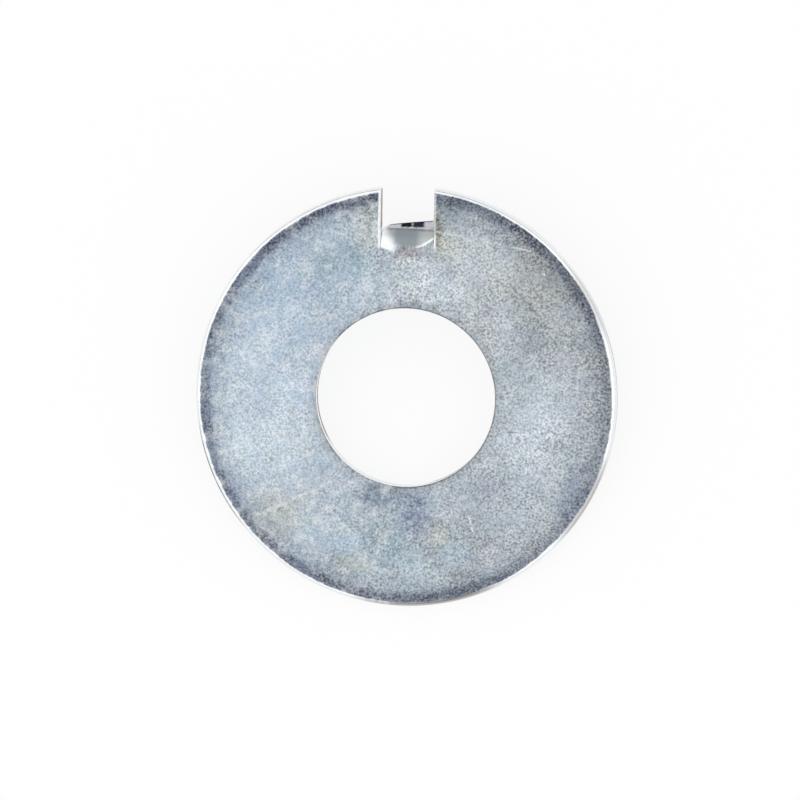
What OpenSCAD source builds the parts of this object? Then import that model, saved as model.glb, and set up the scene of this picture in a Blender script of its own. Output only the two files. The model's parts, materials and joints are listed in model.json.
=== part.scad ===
// Tab lock washer: a round washer of sheet steel with one narrow tab, cut free on both sides from
// the rim inwards and bent down nearly square to the sheet. It lies as it comes to rest, on the end
// of its tab and on the rim's lower edge opposite the tab.

/* [Blank] */
// Outside diameter of the washer
rim_d = 31.75; // [26:0.05:60]
// Diameter of the bore that the bolt passes through
bore_d = 13.5; // [5:0.1:19]
// Thickness of the sheet
sheet_t = 1.2; // [0.6:0.05:2.5]

/* [Rolled edges] */
// Radius that blanking leaves on the rim's upper edge
rim_roll_r = 0.4; // [0.1:0.05:0.5]
// Radius that piercing leaves on the bore's upper edge
bore_roll_r = 0.15; // [0.05:0.05:0.5]
// Radius that the tab's cut leaves on the slot's upper edges at the rim, where the cut starts
slot_roll_r = 0.3; // [0.1:0.05:0.5]

/* [Lock tab] */
// Width of the tab
tab_w = 3.9; // [1.5:0.1:8]
// Width of the cut on each side of the tab
cut_gap = 0.05; // [0.02:0.01:0.3]
// Length of the cut, measured from the rim towards the bore
cut_l = 4.9; // [4.2:0.1:6]
// Inside radius of the bend at the tab's root
bend_r = 0.45; // [0.2:0.05:1]
// Angle that the tab is bent through
bend_angle = 88; // [60:1:90]

/* [Hidden] */
$fn = 128;

// Where the unstretched layer of the bend lies, as a share of the thickness from the inside
neutral_share = 0.42;
// How far a cutter passes beyond what it cuts
pass = 1;

rim_r = rim_d / 2;
bore_r = bore_d / 2;
slot_w = tab_w + 2 * cut_gap;
// Distance from the bore's axis to the bend
bend_y = rim_r - cut_l;
// Length of the tab that the bend takes up, and of the straight leg that is left
bend_l = (bend_r + neutral_share * sheet_t) * bend_angle * PI / 180;
leg_l = cut_l - bend_l;
// The inner edge of the tab's end, on which the washer rests, from the bore's axis and the lower face
tip_y = bend_y + bend_r * sin(bend_angle) + leg_l * cos(bend_angle);
tip_z = -bend_r * (1 - cos(bend_angle)) - leg_l * sin(bend_angle);
// The lean that brings that edge and the opposite rim down to one level
rest_tilt = atan2(-tip_z, tip_y + rim_r);
rest_lift = rim_r * sin(rest_tilt);
// Where the slot's rolled edge has run out, just short of the bend, and the slope of that run
roll_end_y = bend_y + slot_roll_r;
roll_slope = atan(slot_roll_r / (rim_r - roll_end_y));

// What a round of this radius leaves out of a square corner at the origin
module corner_waste(r) {
  difference() {
    square(r);
    translate([r, r]) circle(r);
  }
}

// Half section of the blank: square lower edges, rolled upper ones
module blank_section() {
  difference() {
    translate([bore_r, 0]) square([rim_r - bore_r, sheet_t]);
    translate([bore_r, sheet_t]) mirror([0, 1]) corner_waste(bore_roll_r);
    translate([rim_r, sheet_t]) mirror([1, 0]) mirror([0, 1]) corner_waste(rim_roll_r);
  }
}

// The slot that the tab was bent out of, with its two rolled edges
module slot_cut() {
  translate([-slot_w / 2, bend_y, -pass]) cube([slot_w, cut_l + pass, sheet_t + 2 * pass]);
  for (side = [0, 1]) mirror([side, 0, 0]) slot_roll_cut();
}

// One rolled edge, deepest at the rim
module slot_roll_cut() {
  translate([slot_w / 2, roll_end_y, sheet_t + slot_roll_r])
    rotate([-90 - roll_slope, 0, 0])
      linear_extrude(cut_l + pass) corner_waste(slot_roll_r);
}

module bend() {
  translate([tab_w / 2, bend_y, -bend_r])
    rotate([0, -90, 0])
      rotate_extrude(angle = bend_angle) translate([bend_r, 0]) square([sheet_t, tab_w]);
}

// The straight leg, whose end is still the blank's round rim
module leg() {
  translate([0, bend_y, -bend_r])
    rotate([-bend_angle, 0, 0])
      translate([0, 0, bend_r])
        linear_extrude(sheet_t)
          intersection() {
            translate([-tab_w / 2, 0]) square([tab_w, leg_l + pass]);
            translate([0, leg_l - rim_r]) circle(rim_r);
          }
}

module tab_washer() {
  color("lightsteelblue")
    translate([0, 0, rest_lift])
      rotate([rest_tilt, 0, 0]) {
        difference() {
          rotate_extrude() blank_section();
          slot_cut();
        }
        bend();
        leg();
      }
}

tab_washer();
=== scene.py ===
import json
from math import acos, ceil, cos, pi, radians, sin, sqrt

import bpy
from mathutils import Matrix, Vector


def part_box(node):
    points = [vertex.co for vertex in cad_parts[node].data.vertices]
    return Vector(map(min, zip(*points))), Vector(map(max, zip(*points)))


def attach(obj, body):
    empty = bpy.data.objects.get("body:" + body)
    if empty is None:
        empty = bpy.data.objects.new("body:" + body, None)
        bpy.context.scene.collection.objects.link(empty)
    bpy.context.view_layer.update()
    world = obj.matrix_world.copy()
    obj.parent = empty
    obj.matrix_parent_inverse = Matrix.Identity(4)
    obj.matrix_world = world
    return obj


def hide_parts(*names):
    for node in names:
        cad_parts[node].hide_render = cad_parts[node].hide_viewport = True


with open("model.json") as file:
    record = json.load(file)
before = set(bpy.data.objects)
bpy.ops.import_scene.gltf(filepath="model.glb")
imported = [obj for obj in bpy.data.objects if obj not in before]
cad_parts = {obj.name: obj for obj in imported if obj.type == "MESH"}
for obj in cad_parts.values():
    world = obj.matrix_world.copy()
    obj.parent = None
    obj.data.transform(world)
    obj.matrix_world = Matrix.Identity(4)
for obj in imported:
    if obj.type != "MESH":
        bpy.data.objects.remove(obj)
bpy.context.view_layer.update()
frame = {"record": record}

# The blank: a ring of mild steel sheet, sheared from strip and pierced for the bolt. Two cuts run in
# from the rim and free a narrow tab. It is laid out flat here, with the bore's axis as Z, the sheet's
# lower face at Z = 0 and the tab at +Y. The mesh is one ring of quads, fine along every cut edge.
MM = 0.001
mounts = {m["name"]: m for m in frame["record"]["mounts"]}
bore_axis = Vector(mounts["bore"]["axis"])
seat_point = Vector(mounts["seat_face"]["pos_m"])
nut_point = Vector(mounts["nut_face"]["pos_m"])
cad_low, cad_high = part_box("tab_washer")

sheet = (nut_point - seat_point).dot(bore_axis)
rim = (cad_high.x - cad_low.x) / 2
bore = mounts["bore"]["dims"]["r_mm"] * MM
half_tab = 1.98 * MM
half_slot = 2.0 * MM
cut_length = 4.9 * MM
rim_roll = 0.4 * MM
rim_fall = 1.3 * MM
bore_roll = 0.15 * MM
slot_roll = 0.25 * MM  # on the slot's left wall
slot_roll_right = 0.12 * MM
tab_roll = 0.1 * MM
bend_start = rim - cut_length
bend_radius = 0.45 * MM
bend_angle = radians(86.8)
bend_lead = 0.12 * MM  # how far inside the cuts' ends the bend starts at the tab's middle
bend_bow = 0.33 * MM  # how far outside the cuts' ends it starts at the tab's sides
bend_skew = 0.1 * MM  # how much later it starts on the right, and earlier on the left
neutral_share = 0.42
last_wall_line = half_slot + 1.4 * slot_roll
fan_x = half_slot + 2 * slot_roll  # where the columns leave the slot's direction and fan out


def roll_steps(radius, count=7):
    """Distances from a cut edge at which a rolled edge turns by even angles."""
    return [radius * (1 - sin(pi / 2 * k / count)) for k in range(count, -1, -1)]


def even_steps(start, end, step):
    """Even steps from start to end, without start."""
    count = ceil((end - start) / step)
    return [start + (end - start) * (k + 1) / count for k in range(count)]


def straight_column(x):
    """The bore's and the rim's point on the line at x that runs beside the slot."""
    return Vector((x, sqrt(bore**2 - x**2))), Vector((x, sqrt(rim**2 - x**2)))


def fan_column(share):
    """The bore's and the rim's point of a column that is share of the way round from slot to slot."""
    ends = []
    for radius in (bore, rim):
        first = pi - acos(fan_x / radius)
        last = 2 * pi + acos(fan_x / radius)
        turn = first + (last - first) * share
        ends.append(Vector((radius * cos(turn), radius * sin(turn))))
    return ends


def wall_lines(roll):
    """Lines beside the slot: close together over its rolled edge, and one more before the fan."""
    return [half_slot + d for d in roll_steps(roll)[1:]] + [last_wall_line]


# Rows run round the ring, closest where the tab bends, and columns run from the bore to the rim.
web = rim - bore
bend_middle = (bend_radius + neutral_share * sheet) * bend_angle
before_bend = 0.3 * MM
after_bend = 0.4 * MM
flat_step = 0.45 * MM
bend_step = 0.07 * MM
leg_step = 0.4 * MM
fall_step = 0.1 * MM
rows = roll_steps(bore_roll)
rows += even_steps(rows[-1], bend_start - bore - bend_lead - before_bend, flat_step)
rows += even_steps(rows[-1], bend_start - bore + bend_middle + after_bend, bend_step)
rows += even_steps(rows[-1], web - rim_fall, leg_step)
rows += even_steps(rows[-1], web - rim_roll, fall_step)
rows += [web - d for d in reversed(roll_steps(rim_roll))][1:]

tab_step = 0.1 * MM
tab_half = [half_tab - d for d in roll_steps(tab_roll)]
tab_half += even_steps(half_tab - tab_roll, 0, -tab_step)
tab_lines = [half_slot] + tab_half + [-x for x in reversed(tab_half[:-1])] + [-half_slot]
FAN_COLUMNS = 300
columns = [straight_column(x) for x in tab_lines]
columns += [straight_column(-x) for x in wall_lines(slot_roll)]
columns += [fan_column(k / FAN_COLUMNS) for k in range(FAN_COLUMNS + 1)]
columns += [straight_column(x) for x in reversed(wall_lines(slot_roll_right))]

side_bore, side_rim = straight_column(half_tab)
side_ys = [side_bore.lerp(side_rim, d / web).y for d in rows]
cut_end = max(j for j, y in enumerate(side_ys) if y <= bend_start + bend_bow)
cut_end_y = side_ys[cut_end]
cut_columns = (0, len(tab_lines) - 2)

points = [tuple(a.lerp(b, d / web)) + (0,) for a, b in columns for d in rows]
quads = []
for i in range(len(columns)):
    for j in range(len(rows) - 1):
        if i in cut_columns and j >= cut_end:
            continue
        here = i * len(rows) + j
        there = (i + 1) % len(columns) * len(rows) + j
        quads.append((here, here + 1, there + 1, there))
blank_mesh = bpy.data.meshes.new("flat_blank")
blank_mesh.from_pydata(points, [], quads)
on_tab = blank_mesh.attributes.new("on_tab", "FLOAT", "POINT")
tab_marks = [float(0 < i < len(tab_lines) - 1) for i in range(len(columns)) for _ in rows]
on_tab.data.foreach_set("value", tab_marks)

# The press work: shearing draws the upper edges down into rolls and leaves square lower ones, and a
# round-nosed punch folds the tab over a die. One node tree does it to the flat blank: it gives the
# sheet its thickness, rolls each cut edge and wraps the tab round the bend.


class Wire:
    """A number in a node tree, so that a formula can be written as arithmetic."""

    def __init__(self, tree, socket):
        self.tree = tree
        self.socket = socket

    def math(self, operation, *others):
        return work_out(self.tree, operation, self, *others)

    def __add__(self, other):
        return self.math("ADD", other)

    def __sub__(self, other):
        return self.math("SUBTRACT", other)

    def __rsub__(self, other):
        return work_out(self.tree, "SUBTRACT", other, self)

    def __mul__(self, other):
        return self.math("MULTIPLY", other)

    def __truediv__(self, other):
        return self.math("DIVIDE", other)

    def __rtruediv__(self, other):
        return work_out(self.tree, "DIVIDE", other, self)

    __radd__ = __add__
    __rmul__ = __mul__

    def clamp(self):
        return self.math("MAXIMUM", 0.0).math("MINIMUM", 1.0)


def work_out(tree, operation, *values):
    """One step of arithmetic in a node tree."""
    node = tree.nodes.new("ShaderNodeMath")
    node.operation = operation
    for slot, value in zip(node.inputs, values):
        feed(tree, slot, value)
    return Wire(tree, node.outputs[0])


def feed(tree, slot, value):
    """Links a wire or a socket to a slot, or sets the slot to a plain value."""
    if isinstance(value, Wire):
        tree.links.new(value.socket, slot)
    elif isinstance(value, bpy.types.NodeSocket):
        tree.links.new(value, slot)
    else:
        slot.default_value = value


def put(tree, kind, settings=None, **inputs):
    """Adds a node with its settings, and feeds its inputs by name with _ for a space."""
    node = tree.nodes.new(kind)
    for name, value in (settings or {}).items():
        setattr(node, name, value)
    for name, value in inputs.items():
        slot = next(s for s in node.inputs if s.enabled and s.name == name.replace("_", " "))
        feed(tree, slot, value)
    return node


def split(tree, vector):
    """The three parts of a vector, as wires."""
    node = put(tree, "ShaderNodeSeparateXYZ", Vector=vector)
    return [Wire(tree, s) for s in node.outputs]


def join(tree, x, y, z):
    """A vector from its three parts."""
    return put(tree, "ShaderNodeCombineXYZ", X=x, Y=y, Z=z).outputs[0]


def sockets(tree, direction, **kinds):
    """Makes a tree's named inputs or outputs, with _ for a space, in the order given."""
    for name, kind in kinds.items():
        kind = "NodeSocket" + kind
        tree.interface.new_socket(name.replace("_", " "), in_out=direction, socket_type=kind)


press = bpy.data.node_groups.new("press_and_bend", "GeometryNodeTree")
press_sizes = {
    "Sheet": sheet,
    "Rim Radius": rim,
    "Bore Radius": bore,
    "Half Slot": half_slot,
    "Half Tab": half_tab,
    "Cut End": cut_end_y,
    "Rim Roll": rim_roll,
    "Rim Fall": rim_fall,
    "Rim Fall Depth": 0.09 * MM,
    "Bore Roll": bore_roll,
    "Slot Roll": slot_roll,
    "Slot Roll Right": slot_roll_right,
    "Tab Roll": tab_roll,
    "Roll Run Out": 0.6 * MM,
    "Roll Unevenness": 0.35,
    "Bend Start": bend_start,
    "Bend Lead": bend_lead,
    "Bend Bow": bend_bow,
    "Bend Skew": bend_skew,
    "Bend Radius": bend_radius,
    "Bend Angle": bend_angle,
    "Bend Twist": radians(4),
    "Neutral Share": neutral_share,
}
sockets(press, "INPUT", Blank="Geometry", **{k.replace(" ", "_"): "Float" for k in press_sizes})
sockets(press, "INPUT", Face_Finish="Material", Edge_Finish="Material")
sockets(press, "OUTPUT", Washer="Geometry")
given = press.nodes.new("NodeGroupInput").outputs
size = {name: Wire(press, given[name]) for name in press_sizes}

# Thickness: the sheet is raised in three stages, which leave rings of faces up the cut walls.
stage_shares = (0.28, 0.2, 0.52)
weld_gap = 0.0001 * MM
raised = given["Blank"]
picked = True
walls = []
for share in stage_shares:
    stage = put(press, "GeometryNodeExtrudeMesh", {"mode": "FACES"}, Mesh=raised, Selection=picked,
                Offset=join(press, 0.0, 0.0, 1.0), Offset_Scale=size["Sheet"] * share, Individual=False)
    raised = stage.outputs["Mesh"]
    picked = stage.outputs["Top"]
    walls.append(Wire(press, stage.outputs["Side"]))
lower = put(press, "GeometryNodeFlipFaces", Mesh=given["Blank"])
both = press.nodes.new("GeometryNodeJoinGeometry")
press.links.new(lower.outputs[0], both.inputs[0])
press.links.new(raised, both.inputs[0])
merge = put(press, "GeometryNodeMergeByDistance", Geometry=both.outputs[0], Distance=weld_gap)
solid = merge.outputs[0]

# The flat place of each point, in millimetres, stays on it for the finish to follow.
place = press.nodes.new("GeometryNodeInputPosition").outputs[0]
in_mm = put(press, "ShaderNodeVectorMath", {"operation": "SCALE"}, Vector=place, Scale=1 / MM).outputs[0]
solid = put(press, "GeometryNodeStoreNamedAttribute", {"data_type": "FLOAT_VECTOR", "domain": "POINT"},
            Geometry=solid, Name="blank", Value=in_mm).outputs[0]

# Rolled edges: each point of the upper face drops by its distance from the cut edges.
drift_waves = 260.0  # per metre
x, y, z = split(press, place)
radius = (x * x + y * y).math("SQRT")
across = x.math("ABSOLUTE")
tab_mark = put(press, "GeometryNodeInputNamedAttribute", {"data_type": "FLOAT"}, Name="on_tab")
tab = Wire(press, tab_mark.outputs[0])
drift = put(press, "ShaderNodeTexNoise", Vector=place, Scale=drift_waves, Detail=2.0).outputs[0]
uneven = 1 + (Wire(press, drift) - 0.5) * size["Roll Unevenness"]


def roll_drop(distance, roll):
    """How far a round of radius roll lies below the face, at a distance from the cut edge."""
    share = (1 - distance / roll).clamp()
    return roll * (1 - (1 - share * share).math("SQRT"))


run_out = ((y - size["Cut End"]) / size["Roll Run Out"]).clamp()
fall = (1 - (size["Rim Radius"] - radius) / size["Rim Fall"]).clamp()
drop = roll_drop(size["Rim Radius"] - radius, size["Rim Roll"])
drop += fall * fall * size["Rim Fall Depth"] * uneven
drop += roll_drop(radius - size["Bore Radius"], size["Bore Roll"])
on_right = x.math("GREATER_THAN", 0.0)
slot_round = size["Slot Roll"] + (size["Slot Roll Right"] - size["Slot Roll"]) * on_right
drop += roll_drop(across - size["Half Slot"], slot_round) * run_out * (1 - tab)
drop += roll_drop(size["Half Tab"] - across, size["Tab Roll"]) * run_out * tab
on_top = z.math("GREATER_THAN", size["Sheet"] * 0.9)
solid = put(press, "GeometryNodeSetPosition", Geometry=solid,
            Offset=join(press, 0.0, 0.0, -1 * drop * on_top)).outputs[0]

# The bend: it starts in a bow across the tab, wraps the tab round the punch's nose and runs on straight.
side = x / size["Half Tab"]
bow = (size["Bend Lead"] + size["Bend Bow"]) * side * side
late = bow + size["Bend Skew"] * side - size["Bend Lead"]
start = size["Bend Start"] + late
inside = size["Bend Radius"] - late
middle = inside + size["Sheet"] * size["Neutral Share"]
full_turn = size["Bend Angle"] - size["Bend Twist"] * side
along = (y - start).math("MAXIMUM", 0.0)
turned = (along / middle).math("MINIMUM", full_turn)
leg = (along - middle * full_turn).math("MAXIMUM", 0.0)
outwards = y.math("MINIMUM", start) + (inside + z) * turned.math("SINE") + leg * turned.math("COSINE")
upwards = (inside + z) * turned.math("COSINE") - inside - leg * turned.math("SINE")
solid = put(press, "GeometryNodeStoreNamedAttribute", {"data_type": "FLOAT", "domain": "POINT"},
            Geometry=solid, Name="bend", Value=turned / full_turn * tab).outputs[0]
solid = put(press, "GeometryNodeSetPosition", Geometry=solid, Selection=tab.math("GREATER_THAN", 0.5),
            Position=join(press, x, outwards, upwards)).outputs[0]

# Shading and finish: smooth over the rolls, sharp at square corners, and a finish of its own on cut walls.
sharp_turn = radians(35)
edge_turn = Wire(press, press.nodes.new("GeometryNodeInputMeshEdgeAngle").outputs[0])
sharp = edge_turn.math("GREATER_THAN", sharp_turn)
on_wall = (walls[0] + walls[1] + walls[2]).math("GREATER_THAN", 0.5)
solid = put(press, "GeometryNodeSetShadeSmooth", {"domain": "FACE"}, Geometry=solid,
            Shade_Smooth=True).outputs[0]
solid = put(press, "GeometryNodeSetShadeSmooth", {"domain": "EDGE"}, Geometry=solid, Selection=sharp,
            Shade_Smooth=False).outputs[0]
solid = put(press, "GeometryNodeRealizeInstances", Geometry=solid).outputs[0]
solid = put(press, "GeometryNodeSetMaterial", Geometry=solid, Material=given["Face Finish"]).outputs[0]
solid = put(press, "GeometryNodeSetMaterial", Geometry=solid, Material=given["Edge Finish"],
            Selection=on_wall).outputs[0]
put(press, "NodeGroupOutput", Washer=solid)

# The finish: matt zinc plate with a pale blue passivation, over the rolled grain of the sheet. It is
# cloudy, darker along the rim with stain and painted shade, stained beside the slot and a little
# scratched, with painted highlights, painted shade and painted reflections on the rolled edges, the bend
# and the leg. All patterns follow the flat blank's own millimetres, round the bend too.


def srgb(r, g, b):
    """A colour as it shows on a screen, 0 to 255, as the linear values that a shader takes."""
    def linear(v):
        v /= 255
        return v / 12.92 if v <= 0.04045 else ((v + 0.055) / 1.055) ** 2.4
    return (linear(r), linear(g), linear(b), 1)


def vector_step(tree, operation, *values, **named):
    """One step of vector arithmetic in a node tree."""
    node = tree.nodes.new("ShaderNodeVectorMath")
    node.operation = operation
    for slot, value in zip(node.inputs, values):
        feed(tree, slot, value)
    for name, value in named.items():
        feed(tree, node.inputs[name], value)
    output = "Value" if operation in ("LENGTH", "DOT_PRODUCT") else "Vector"
    return node.outputs[output]


def noise(tree, vector, scale, detail=2.0, roughness=0.5, stretch=None):
    """A noise from 0 to 1 on a vector in millimetres."""
    if stretch:
        vector = vector_step(tree, "MULTIPLY", vector, stretch)
    node = put(tree, "ShaderNodeTexNoise", Vector=vector, Scale=scale, Detail=detail, Roughness=roughness)
    return Wire(tree, node.outputs["Fac"])


def ramp(tree, value, low, high):
    """0 up to low, 1 from high on and smooth between."""
    node = put(tree, "ShaderNodeMapRange", {"interpolation_type": "SMOOTHSTEP"}, Value=value,
               From_Min=low, From_Max=high)
    return Wire(tree, node.outputs[0])


def blend(tree, share, under, over, mode="MIX"):
    """Lays one colour over another by a share."""
    node = put(tree, "ShaderNodeMix", {"data_type": "RGBA", "blend_type": mode},
               Factor=share, A=under, B=over)
    return next(s for s in node.outputs if s.enabled)


# Zinc plate: fine dark crystals, denser in some places than in others, and clouds of shade and of tint
# where the plating took differently. Shade darkens red the most, so that dark crystals lean to blue.
plate = bpy.data.node_groups.new("zinc_plate", "ShaderNodeTree")
sockets(plate, "INPUT", Place="Vector", Grain_Size="Float", Grain_Depth="Float", Cloud_Depth="Float",
        Tint_Depth="Float", Roughness="Float")
sockets(plate, "OUTPUT", Tone="Color", Blueness="Float", Roughness="Float", Height="Float")
plate_in = plate.nodes.new("NodeGroupInput").outputs
crystals = 1 / Wire(plate, plate_in["Grain Size"])
grain = ramp(plate, noise(plate, plate_in["Place"], crystals, 1.5, 0.6), 0.2, 0.72) - 0.56
density = 0.75 + ramp(plate, noise(plate, plate_in["Place"], 0.6, 3.0, 0.6), 0.3, 0.7) * 0.5
grain = (grain - 0.25) * density + 0.25
cloud = noise(plate, plate_in["Place"], 0.3, 4.0, 0.55) - 0.5
patch = noise(plate, plate_in["Place"], 1.1, 3.0, 0.6) - 0.5
shade = grain * plate_in["Grain Depth"] + (cloud * 1.2 + patch * 0.75) * plate_in["Cloud Depth"]
tints = put(plate, "ShaderNodeTexNoise", Vector=plate_in["Place"], Scale=0.6, Detail=4.0, Roughness=0.65)
warm, green, _ = split(plate, tints.outputs["Color"])
warm = (warm - 0.5) * plate_in["Tint Depth"]
green = (green - 0.5) * plate_in["Tint Depth"] * 0.55
red_tone = 1 + shade * 1.05 + warm - green * 0.5
green_tone = 1 + shade + green
blue_tone = 1 + shade * 0.95 - warm - green * 0.5
tone = join(plate, red_tone, green_tone, blue_tone)
blueness = ramp(plate, noise(plate, plate_in["Place"], 0.16, 3.0, 0.5), 0.3, 0.7)
roughness = Wire(plate, plate_in["Roughness"]) + grain * 0.12 + patch * 0.12
put(plate, "NodeGroupOutput", Tone=tone, Blueness=blueness, Roughness=roughness, Height=grain)

# A soft-edged, ragged spot round a place on the blank.
spot = bpy.data.node_groups.new("soft_spot", "ShaderNodeTree")
sockets(spot, "INPUT", Place="Vector", Centre="Vector", Reach="Vector", Strength="Float")
sockets(spot, "OUTPUT", Share="Float")
spot_in = spot.nodes.new("NodeGroupInput").outputs
ragged = put(spot, "ShaderNodeTexNoise", Vector=spot_in["Place"], Scale=1.3, Detail=5.0, Roughness=0.65)
ragged = vector_step(spot, "SUBTRACT", ragged.outputs["Color"], (0.5, 0.5, 0.5))
ragged = vector_step(spot, "SCALE", ragged, Scale=1.6)
offset = vector_step(spot, "SUBTRACT", spot_in["Place"], spot_in["Centre"])
offset = vector_step(spot, "DIVIDE", offset, spot_in["Reach"])
offset = vector_step(spot, "ADD", offset, ragged)
distance = Wire(spot, vector_step(spot, "LENGTH", vector_step(spot, "MULTIPLY", offset, (1, 1, 0))))
mottle = ramp(spot, noise(spot, spot_in["Place"], 2.8, 3.0, 0.6), 0.25, 0.75)
soft_edge = ramp(spot, distance, 1.25, 0.2)
put(spot, "NodeGroupOutput", Share=soft_edge * (0.4 + mottle * 0.8) * spot_in["Strength"])

# A scratch from one place on the blank to another, broken here and there.
scratch = bpy.data.node_groups.new("scratch", "ShaderNodeTree")
sockets(scratch, "INPUT", Place="Vector", Start="Vector", End="Vector", Width="Float", Strength="Float")
sockets(scratch, "OUTPUT", Share="Float")
scratch_in = scratch.nodes.new("NodeGroupInput").outputs
from_start = vector_step(scratch, "SUBTRACT", scratch_in["Place"], scratch_in["Start"])
from_start = vector_step(scratch, "MULTIPLY", from_start, (1, 1, 0))
line = vector_step(scratch, "SUBTRACT", scratch_in["End"], scratch_in["Start"])
length_squared = Wire(scratch, vector_step(scratch, "DOT_PRODUCT", line, line))
share = Wire(scratch, vector_step(scratch, "DOT_PRODUCT", from_start, line)) / length_squared
nearest = vector_step(scratch, "SCALE", line, Scale=share.clamp())
beside = vector_step(scratch, "SUBTRACT", from_start, nearest)
distance = Wire(scratch, vector_step(scratch, "LENGTH", beside))
broken = ramp(scratch, noise(scratch, scratch_in["Place"], 2.2, 3.0, 0.7), 0.35, 0.6)
mark = ramp(scratch, distance / scratch_in["Width"], 1.0, 0.25)
put(scratch, "NodeGroupOutput", Share=mark * broken * scratch_in["Strength"])


def new_material(name):
    """An empty node material, its tree, and the flat blank's place as a vector in that tree."""
    material = bpy.data.materials.new(name)
    material.use_nodes = True
    tree = material.node_tree
    tree.nodes.clear()
    where = put(tree, "ShaderNodeAttribute", {"attribute_name": "blank"}).outputs["Vector"]
    return material, tree, where


def place_group(tree, group, **inputs):
    """Puts a shader node group into a material with its own values."""
    node = tree.nodes.new("ShaderNodeGroup")
    node.node_tree = group
    for name, value in inputs.items():
        feed(tree, node.inputs[name.replace("_", " ")], value)
    return node.outputs


# The plated face, with its places on the blank in millimetres. A spot has a centre, a reach, a strength
# and a colour. A scratch has two ends, a width, a strength and a colour. A patch of painted dark
# reflection on the leg has a place across, half a width and a colour. A stretch of painted shade on the
# rim's roll has a turn, a reach and a share.
sheet_mm = sheet / MM
rim_mm = rim / MM
bore_mm = bore / MM
cut_end_mm = cut_end_y / MM
half_slot_mm = half_slot / MM
half_tab_mm = half_tab / MM
ZINC_BLUE = srgb(176, 190, 204)
ZINC_GREY = srgb(180, 187, 191)
RIM_DARK = srgb(66, 73, 94)
BORE_DARK = srgb(140, 145, 150)
BORE_EDGE_SHADE = srgb(84, 80, 78)
RUBBED_AND_HIGHLIT = srgb(246, 248, 250)
ROLL_SHADE = srgb(190, 186, 184)
ROLL_FOOT_SHADE = srgb(84, 82, 74)
BEND_HIGHLIGHT = srgb(250, 251, 252)
BEND_REFLECTION_GREY = srgb(142, 152, 156)
CREASE_SHADE = srgb(112, 116, 120)
LEG_GREY = srgb(206, 208, 212)
LEG_STREAK = srgb(150, 152, 160)
TIP_SHADE = srgb(50, 50, 56)
shaded_roll_stretches = (
    (277, 15, 1.0),
    (331, 8, 0.9),
    (30, 7, 0.5),
)
face_spots_and_shade = (
    ((-10.3, 0.0, 0), (4.6, 7.5, 1), 0.75, srgb(196, 209, 222)),
    ((-8.8, 8.3, 0), (5.0, 4.2, 1), 0.6, srgb(168, 189, 208)),
    ((-4.6, 10.2, 0), (2.6, 2.0, 1), 0.85, srgb(142, 164, 177)),
    ((10.8, 9.3, 0), (3.8, 3.8, 1), 0.6, srgb(164, 165, 160)),
    ((10.6, 4.0, 0), (3.2, 2.8, 1), 0.6, srgb(156, 164, 172)),
    ((5.5, 6.0, 0), (2.6, 2.6, 1), 0.5, srgb(194, 198, 202)),
    ((-1.6, -11.2, 0), (4.0, 2.8, 1), 0.9, srgb(144, 162, 174)),
    ((3.0, -11.0, 0), (3.4, 2.4, 1), 0.85, srgb(150, 160, 167)),
    ((0.9, -8.6, 0), (1.6, 2.0, 1), 0.88, srgb(120, 130, 154)),
    ((-1.5, -7.4, 0), (2.6, 1.1, 1), 0.9, srgb(122, 135, 156)),
    ((6.0, -7.9, 0), (3.8, 2.6, 1), 0.65, srgb(154, 161, 173)),
    ((-9.6, -9.0, 0), (3.0, 2.4, 1), 0.75, srgb(179, 184, 178)),
    ((-4.1, -11.0, 0), (1.8, 1.2, 1), 0.6, srgb(182, 202, 218)),
    ((-3.9, -12.7, 0), (1.6, 0.9, 1), 0.6, srgb(190, 195, 180)),
    ((2.6, -10.6, 0), (1.2, 0.9, 1), 0.6, srgb(204, 202, 196)),
    ((3.9, -11.8, 0), (1.4, 1.2, 1), 0.7, srgb(190, 208, 216)),
    ((-10.3, -4.6, 0), (3.8, 3.0, 1), 0.8, srgb(206, 218, 226)),
    ((1.4, 8.6, 0), (3.0, 2.0, 1), 0.8, srgb(210, 217, 222)),
    ((10.2, -2.8, 0), (2.8, 2.6, 1), 0.6, srgb(204, 212, 222)),
    ((13.1, -7.2, 0), (1.8, 3.0, 1), 0.5, srgb(136, 146, 174)),
    ((-3.0, 12.9, 0), (1.2, 2.2, 1), 0.7, srgb(184, 190, 184)),
    ((3.2, 14.2, 0), (1.4, 1.2, 1), 0.7, srgb(138, 147, 152)),
    ((3.0, 11.6, 0), (1.4, 1.4, 1), 0.6, srgb(180, 185, 174)),
    ((0.2, 10.2, 0), (2.0, 0.7, 1), 0.6, srgb(206, 214, 214)),
    # painted shade where the tab starts to bend
    ((0.15, 11.0, 0), (1.5, 0.5, 1), 0.8, srgb(150, 142, 148)),
    ((2.2, 12.5, 0), (0.5, 1.2, 1), 1.0, srgb(118, 113, 92)),
    ((2.15, 13.3, 0), (0.4, 0.9, 1), 0.9, srgb(124, 121, 104)),
)
leg_shade_patches = (
    (-0.42, 0.42, srgb(36, 36, 40)),
    (0.52, 0.44, srgb(48, 52, 70)),
)
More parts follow.
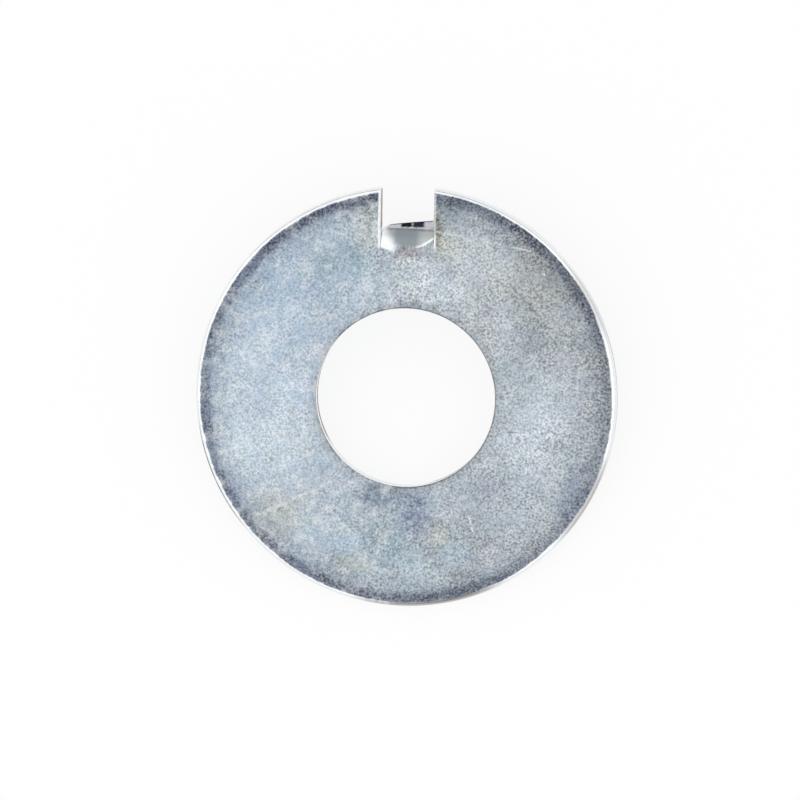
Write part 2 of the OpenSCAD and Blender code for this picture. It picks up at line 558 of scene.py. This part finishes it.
face_scratches = (
    ((2.2, 12.6, 0), (9.3, 11.3, 0), 0.12, 0.6, srgb(222, 228, 230)),
    ((7.8, 8.7, 0), (10.4, 6.0, 0), 0.12, 0.5, srgb(110, 116, 122)),
    ((4.9, -8.8, 0), (5.2, -10.0, 0), 0.09, 0.8, srgb(240, 243, 245)),
    ((-11.1, -9.2, 0), (-5.8, -6.6, 0), 0.2, 0.9, srgb(216, 221, 218)),
    ((-5.2, -11.6, 0), (-5.6, -13.0, 0), 0.14, 0.5, srgb(110, 122, 134)),
    ((-5.0, -12.7, 0), (-2.9, -11.4, 0), 0.11, 0.6, srgb(112, 120, 126)),
    ((-11.1, -4.1, 0), (-10.7, -3.8, 0), 0.12, 0.9, srgb(236, 241, 244)),
    ((10.25, 9.6, 0), (10.35, 9.55, 0), 0.13, 1.0, srgb(236, 240, 240)),
)
face_finish, tree, where = new_material("matt_zinc_plate")
flat_x, flat_y, flat_z = split(tree, where)
smoother = ramp(tree, flat_x, 0.0, -8.0)
zinc = place_group(tree, plate, Place=where, Grain_Size=0.165, Grain_Depth=0.86 - smoother * 0.24,
                   Cloud_Depth=0.72 - smoother * 0.32, Tint_Depth=0.16, Roughness=0.4)
upper = ramp(tree, flat_z, sheet_mm * 0.4, sheet_mm * 0.7)
bluer = ramp(tree, flat_x, 7.0, -9.0) * 0.7 + Wire(tree, zinc["Blueness"]) * 0.3
plain = blend(tree, bluer, ZINC_GREY, ZINC_BLUE)
colour = plain
for centre, reach, strength, tint in face_spots_and_shade:
    share = place_group(tree, spot, Place=where, Centre=centre, Reach=reach, Strength=strength)["Share"]
    colour = blend(tree, share, colour, tint)
colour = blend(tree, upper, plain, colour)
from_axis = (flat_x * flat_x + flat_y * flat_y).math("SQRT")


def toward(turn, reach):
    """A share that is 1 round a turn from +X, in degrees, and falls softly to 0 about its reach."""
    along = (flat_x * cos(radians(turn)) + flat_y * sin(radians(turn))) / from_axis
    return ramp(tree, along, cos(radians(reach + 8)), cos(radians(reach - 4)))


wander = noise(tree, where, 0.4, 4.0, 0.65) - 0.5
smut = ramp(tree, noise(tree, where, 1.2, 4.0, 0.75), 0.38, 0.64)
clumps = ramp(tree, noise(tree, where, 0.9, 5.0, 0.8), 0.32, 0.68)
# A dark band along the rim: partly plating stain, partly painted shade, darker where the rim faces the
# upper left and lighter where it faces the right.
band = ramp(tree, from_axis + wander * 1.2, rim_mm - 3.0, rim_mm - 0.8)
edge_band = ramp(tree, from_axis + wander * 0.5, rim_mm - 1.3, rim_mm - 0.7)
edge_stain_and_shade = 0.37 + clumps * 0.08 - toward(340, 34) * 0.24 + toward(112, 20) * 0.12
rim_stain_and_shade = band * (0.25 + clumps * 0.12) + edge_band * edge_stain_and_shade
rim_stain_and_shade *= 1 - Wire(tree, zinc["Height"]) * 0.4
colour = blend(tree, rim_stain_and_shade, colour, RIM_DARK)
bore_ring = ramp(tree, from_axis, bore_mm + 0.9, bore_mm + 0.2) * upper
colour = blend(tree, bore_ring * (0.2 + smut * 0.25), colour, BORE_DARK)
colour = blend(tree, 1.0, colour, zinc["Tone"], "MULTIPLY")
# Painted shade: a dark line along the bore's rolled edge, weaker on its left and lower left.
bore_edge_shade = ramp(tree, from_axis + smut * 0.06, bore_mm + 0.2, bore_mm + 0.1) * upper
bore_edge_shade *= 0.55 - toward(168, 24) * 0.4 - toward(242, 18) * 0.45
colour = blend(tree, bore_edge_shade, colour, BORE_EDGE_SHADE)
for start, end, width, strength, tint in face_scratches:
    share = place_group(tree, scratch, Place=where, Start=start, End=end, Width=width,
                        Strength=upper * strength)["Share"]
    colour = blend(tree, share, colour, tint)
# Painted highlight: the rolled edges are painted near-white over their rubbed, smoother metal. Painted
# shade: some stretches of the rim's roll are painted brown.
roll_start = (rim - rim_roll) / MM
roll_reach = from_axis + (smut - 0.5) * 0.07 - toward(57, 30) * 0.07
rolled = ramp(tree, roll_reach, roll_start, roll_start + 0.14) * upper
# Painted highlight: the slot's rolled edges are painted near-white and less metal, half as strong on the
# right further out.
slit_margin = 0.004
right_highlight_fades = (11.9, 12.6)  # from here to here along Y, on the slot's right side
sideways = flat_x.math("ABSOLUTE")
slot_highlight = ramp(tree, sideways, (half_slot + slot_roll) / MM, half_slot_mm + 0.1)
slot_highlight *= ramp(tree, flat_y, cut_end_mm - 0.1, cut_end_mm + 0.2) * upper
slot_highlight *= ramp(tree, sideways, half_tab_mm + slit_margin, half_slot_mm - slit_margin)
slot_highlight *= 1 - ramp(tree, flat_x, 0.0, 0.5) * ramp(tree, flat_y, *right_highlight_fades) * 0.5
rubbed_and_highlit = rolled.math("MAXIMUM", slot_highlight)
roll_colour = RUBBED_AND_HIGHLIT
for turn, reach, share in shaded_roll_stretches:
    roll_colour = blend(tree, toward(turn, reach) * share, roll_colour, ROLL_SHADE)
colour = blend(tree, rubbed_and_highlit * 0.88, colour, roll_colour)
# Painted shade: a dark line at the foot of the rim's roll on its left side.
roll_foot_shade = ramp(tree, from_axis, rim_mm - 0.15, rim_mm - 0.07) * toward(204, 10) * upper
colour = blend(tree, roll_foot_shade * 0.95, colour, ROLL_FOOT_SHADE)

# The tab: painted highlights make its bend white in a bowl shape, and the hollow is painted flat grey as a
# painted reflection. The leg is painted grey with streaks as a painted reflection, with painted shade
# where it leaves the bend and along its tip.
bent = Wire(tree, put(tree, "ShaderNodeAttribute", {"attribute_name": "bend"}).outputs["Fac"])
# Painted highlights: the bend's left side and the lower right of its bowl are painted white. Painted
# reflection: the hollow is painted flat grey, lighter towards its sides.
bowl = 0.17 + flat_x.math("POWER", 4.0) * 0.014
left_highlight = ramp(tree, bent + smut * 0.04, 0.01, 0.1) * ramp(tree, flat_x, -0.6, -1.2)
right_highlight = ramp(tree, bent - bowl, -0.05, 0.0) * ramp(tree, flat_x, 0.55, 0.85)
bend_highlight = left_highlight.math("MAXIMUM", right_highlight) * upper
hollow = ramp(tree, bent - bowl + (smut - 0.5) * 0.08, -0.02, 0.1) * upper
hollow *= ramp(tree, flat_x + bent * 2.4, -0.95, 0.4) * ramp(tree, flat_x, -1.9, -1.3)
bowl_light = ramp(tree, flat_x, 0.4, 1.3).math("MAXIMUM", ramp(tree, flat_x, -0.7, -1.5))
colour = blend(tree, bend_highlight, colour, BEND_HIGHLIGHT)
colour = blend(tree, hollow * (1 - bowl_light * 0.3), colour, BEND_REFLECTION_GREY)
leg = ramp(tree, bent, 0.93, 1.0) * upper
# Painted shade where the leg leaves the bend.
crease_shade = ramp(tree, bent, 0.7, 0.85) * hollow
colour = blend(tree, crease_shade * (0.3 + smut * 0.5), colour, CREASE_SHADE)
streaks = noise(tree, where, 4.0, 3.0, 0.6, stretch=(1, 0.25, 1))
# Painted reflection: the leg is painted grey with streaks and made less metal.
painted_leg = leg * ramp(tree, flat_x, -1.8, -1.6)
leg_colour = blend(tree, ramp(tree, streaks, 0.45, 0.75) * 0.6, LEG_GREY, LEG_STREAK)
colour = blend(tree, painted_leg, colour, leg_colour)
# Painted shade: a dark line along the tip of the leg.
tip_reach = from_axis + (streaks - 0.5) * 0.5 - flat_x * 0.16
dark = painted_leg * ramp(tree, tip_reach, rim_mm - 1.25, rim_mm - 0.8)
colour = blend(tree, dark, colour, TIP_SHADE)
# Painted dark reflection: two dark patches on the leg.
leg_middle = 14.2
patch_slant = 0.11
patch_starts = (13.1, 13.9)  # from here to here along Y
slanted_x = flat_x + (flat_y - leg_middle) * patch_slant
for patch_x, half_width, tint in leg_shade_patches:
    across_patch = (slanted_x - patch_x).math("ABSOLUTE") / half_width
    share = ramp(tree, across_patch + (streaks - 0.5) * 0.8, 1.25, 0.75)
    share *= ramp(tree, flat_y + streaks * 1.2, *patch_starts) * leg
    colour = blend(tree, share, colour, tint)
    dark = dark.math("MAXIMUM", share)
painted_bend = bend_highlight.math("MAXIMUM", hollow)
# Where light and shade are painted, the surface is less metal, so that the painted colour shows.
painted_matt = (painted_bend * 0.7).math("MAXIMUM", slot_highlight * 0.6).math("MAXIMUM", painted_leg * 0.6)
metal = 1 - painted_matt.math("MAXIMUM", dark).math("MAXIMUM", roll_foot_shade * 0.8)
smooth = rubbed_and_highlit.math("MAXIMUM", painted_bend)
bump = put(tree, "ShaderNodeBump", Height=Wire(tree, zinc["Height"]) * (1 - smooth * 0.85), Strength=0.5,
           Distance=0.012 * MM)
shader = put(tree, "ShaderNodeBsdfPrincipled", Base_Color=colour, Metallic=metal, Normal=bump.outputs[0],
             Roughness=Wire(tree, zinc["Roughness"]) - rubbed_and_highlit * 0.2, Specular_IOR_Level=0.0)
put(tree, "ShaderNodeOutputMaterial", Surface=shader.outputs[0])

# The sheared walls: a bright burnished band under the rolled edge, and torn, duller metal below it.
# The slot's walls are torn and brown with painted shade, the bore's are brown at the foot, and the rim's
# are paler. Painted highlight keeps the walls bright on the tab's side; the bore's lower left has less
# torn metal.
slot_wall_starts = (12.5, 12.9)  # from here to here along Y
EDGE_BRIGHT = srgb(244, 246, 248)
EDGE_TORN = srgb(196, 200, 204)
BORE_TORN = srgb(122, 115, 110)
SLOT_TORN_AND_SHADE = srgb(160, 150, 146)
edge_finish, tree, where = new_material("sheared_zinc_edge")
zinc = place_group(tree, plate, Place=where, Grain_Size=0.1, Grain_Depth=0.3, Cloud_Depth=0.3,
                   Tint_Depth=0.1, Roughness=0.3)
edge_x, edge_y, edge_z = split(tree, where)
streaks = noise(tree, where, 5.0, 3.0, 0.6, stretch=(1, 1, 0.08))
torn = ramp(tree, edge_z + (streaks - 0.5) * 0.5, sheet_mm * 0.55, sheet_mm * 0.4)
from_axis = (edge_x * edge_x + edge_y * edge_y).math("SQRT")
# Painted highlight: the walls on the tab's side of the ring are kept bright.
torn *= 1 - ramp(tree, edge_y / from_axis, 0.3, 0.7) * 0.8
in_slot = ramp(tree, from_axis, rim_mm - 0.05, rim_mm - 0.1) * ramp(tree, edge_y, *slot_wall_starts)
in_bore = ramp(tree, from_axis, bore_mm + 0.1, bore_mm + 0.05)
bore_lower_left = ramp(tree, edge_y / from_axis, -0.4, -0.6) * ramp(tree, edge_x / from_axis, 0.5, 0.2)
torn *= 1 - bore_lower_left * in_bore * 0.85
torn_colour = blend(tree, in_bore, blend(tree, in_slot, EDGE_TORN, SLOT_TORN_AND_SHADE), BORE_TORN)
colour = blend(tree, torn.math("MAXIMUM", in_slot), EDGE_BRIGHT, torn_colour)
colour = blend(tree, 1.0, colour, zinc["Tone"], "MULTIPLY")
bump = put(tree, "ShaderNodeBump", Height=streaks * torn, Strength=0.6, Distance=0.03 * MM)
shader = put(tree, "ShaderNodeBsdfPrincipled", Base_Color=colour, Metallic=1 - in_slot * 0.7,
             Normal=bump.outputs[0], Roughness=Wire(tree, zinc["Roughness"]) + torn * 0.1,
             Specular_IOR_Level=0.0)
put(tree, "ShaderNodeOutputMaterial", Surface=shader.outputs[0])

# The finished washer: one piece of plated steel, pressed from the blank. It is laid down as it comes to
# rest, leaning on the tip of its tab and on the rim opposite.
washer = bpy.data.objects.new("pressed_washer", blank_mesh)
bpy.context.scene.collection.objects.link(washer)
pressing = washer.modifiers.new("press_and_bend", "NODES")
pressing.node_group = press
press_values = {**press_sizes, "Face Finish": face_finish, "Edge Finish": edge_finish}
for item in press.interface.items_tree:
    if item.in_out == "INPUT" and item.name in press_values:
        pressing[item.identifier] = press_values[item.name]
depsgraph = bpy.context.evaluated_depsgraph_get()
pressed = bpy.data.meshes.new_from_object(washer.evaluated_get(depsgraph), preserve_all_data_layers=True,
                                          depsgraph=depsgraph)
pressed.name = "pressed_washer"
washer.modifiers.clear()
washer.data = pressed
across_axis = Vector((1, 0, 0))
seat_centre = Vector((0, seat_point.y, seat_point.z))
lying = Matrix((across_axis, bore_axis.cross(across_axis), bore_axis)).transposed().to_4x4()
pressed.transform(Matrix.Translation(seat_centre) @ lying)
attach(washer, "root")
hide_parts("tab_washer")

# The floor: a plain white sheet under the washer. The camera and reflections see it as white paper,
# and it keeps a faint shadow.
FLOOR_HALF = 0.6
camera_white = 0.85  # the rest of what the camera sees is lit paper, with the shadow on it
floor_mesh = bpy.data.meshes.new("floor")
floor_corners = [(-FLOOR_HALF, -FLOOR_HALF, 0), (FLOOR_HALF, -FLOOR_HALF, 0),
                 (FLOOR_HALF, FLOOR_HALF, 0), (-FLOOR_HALF, FLOOR_HALF, 0)]
floor_mesh.from_pydata(floor_corners, [], [(0, 1, 2, 3)])
floor = bpy.data.objects.new("floor", floor_mesh)
bpy.context.scene.collection.objects.link(floor)
floor_paper = bpy.data.materials.new("white_paper")
floor_paper.use_nodes = True
tree = floor_paper.node_tree
tree.nodes.clear()
paper = put(tree, "ShaderNodeBsdfDiffuse", Color=(0.9, 0.9, 0.9, 1))
white = put(tree, "ShaderNodeEmission", Color=(1, 1, 1, 1), Strength=1.0)
ray = tree.nodes.new("ShaderNodeLightPath").outputs
mirrored = Wire(tree, ray["Is Glossy Ray"]).math("MAXIMUM", Wire(tree, ray["Is Transmission Ray"]))
seen = (Wire(tree, ray["Is Camera Ray"]) * camera_white).math("MAXIMUM", mirrored)
surface = tree.nodes.new("ShaderNodeMixShader")
feed(tree, surface.inputs[0], seen)
feed(tree, surface.inputs[1], paper.outputs[0])
feed(tree, surface.inputs[2], white.outputs[0])
put(tree, "ShaderNodeOutputMaterial", Surface=surface.outputs[0])
floor_mesh.materials.append(floor_paper)

# The light: a soft box overhead that the face reflects, three wide ones round the washer that the rolled
# edges reflect, and a plain grey room.
room_strength = 0.42
lamp_distance = 0.32
world = bpy.data.worlds.new("grey_room")
bpy.context.scene.world = world
world.use_nodes = True
room = world.node_tree.nodes["Background"]
room.inputs["Color"].default_value = (1, 1, 1, 1)
room.inputs["Strength"].default_value = room_strength


def soft_box(name, turn, height, width, tall, brightness):
    """A rectangular lamp that faces the washer, at a turn from +X and a height above the floor in
    degrees. At a brightness of 1 it shows white in a mirror."""
    turn = radians(turn)
    height = radians(height)
    light = bpy.data.lights.new(name, "AREA")
    light.shape = "RECTANGLE"
    light.size = width
    light.size_y = tall
    light.energy = brightness * pi * width * tall
    lamp = bpy.data.objects.new(name, light)
    outwards = Vector((cos(turn) * cos(height), sin(turn) * cos(height), sin(height)))
    lamp.location = outwards * lamp_distance
    lamp.rotation_euler = lamp.location.to_track_quat("Z", "Y").to_euler()
    lamp.visible_camera = False
    bpy.context.scene.collection.objects.link(lamp)


soft_box("overhead_box", turn=249, height=74, width=0.46, tall=0.34, brightness=0.54)
soft_box("right_box", turn=346, height=30, width=1.04, tall=0.32, brightness=0.85)
soft_box("back_box", turn=100, height=40, width=0.90, tall=0.30, brightness=0.75)
soft_box("left_box", turn=207, height=28, width=0.84, tall=0.28, brightness=0.85)

# The camera looks down on the washer from a little to its right, with the tab at the top of the picture.
PICTURE = 800
PIXEL = 0.07495 * MM
centre_pixel = Vector((405.2, 398.0))  # where the middle of the upper face lies in the picture
view_lean = radians(6.4)
view_roll = radians(1.5)
view_distance = 0.5
back = Vector((sin(view_lean), 0, cos(view_lean)))
up = Matrix.Rotation(view_roll, 3, back) @ Vector((0, 1, 0))
right = up.cross(back)
off_centre = (centre_pixel - Vector((PICTURE, PICTURE)) / 2) * PIXEL
face_centre = seat_centre + bore_axis * sheet
camera_data = bpy.data.cameras.new("camera")
camera = bpy.data.objects.new("camera", camera_data)
bpy.context.scene.collection.objects.link(camera)
camera.location = face_centre + back * view_distance - right * off_centre.x + up * off_centre.y
camera.rotation_euler = Matrix((right, up, back)).transposed().to_euler()
camera_data.sensor_width = 36
camera_data.lens = camera_data.sensor_width * view_distance / (PICTURE * PIXEL)
camera_data.clip_start = 0.01
camera_data.clip_end = 10
bpy.context.scene.camera = camera
bpy.context.scene.view_settings.view_transform = "Standard"
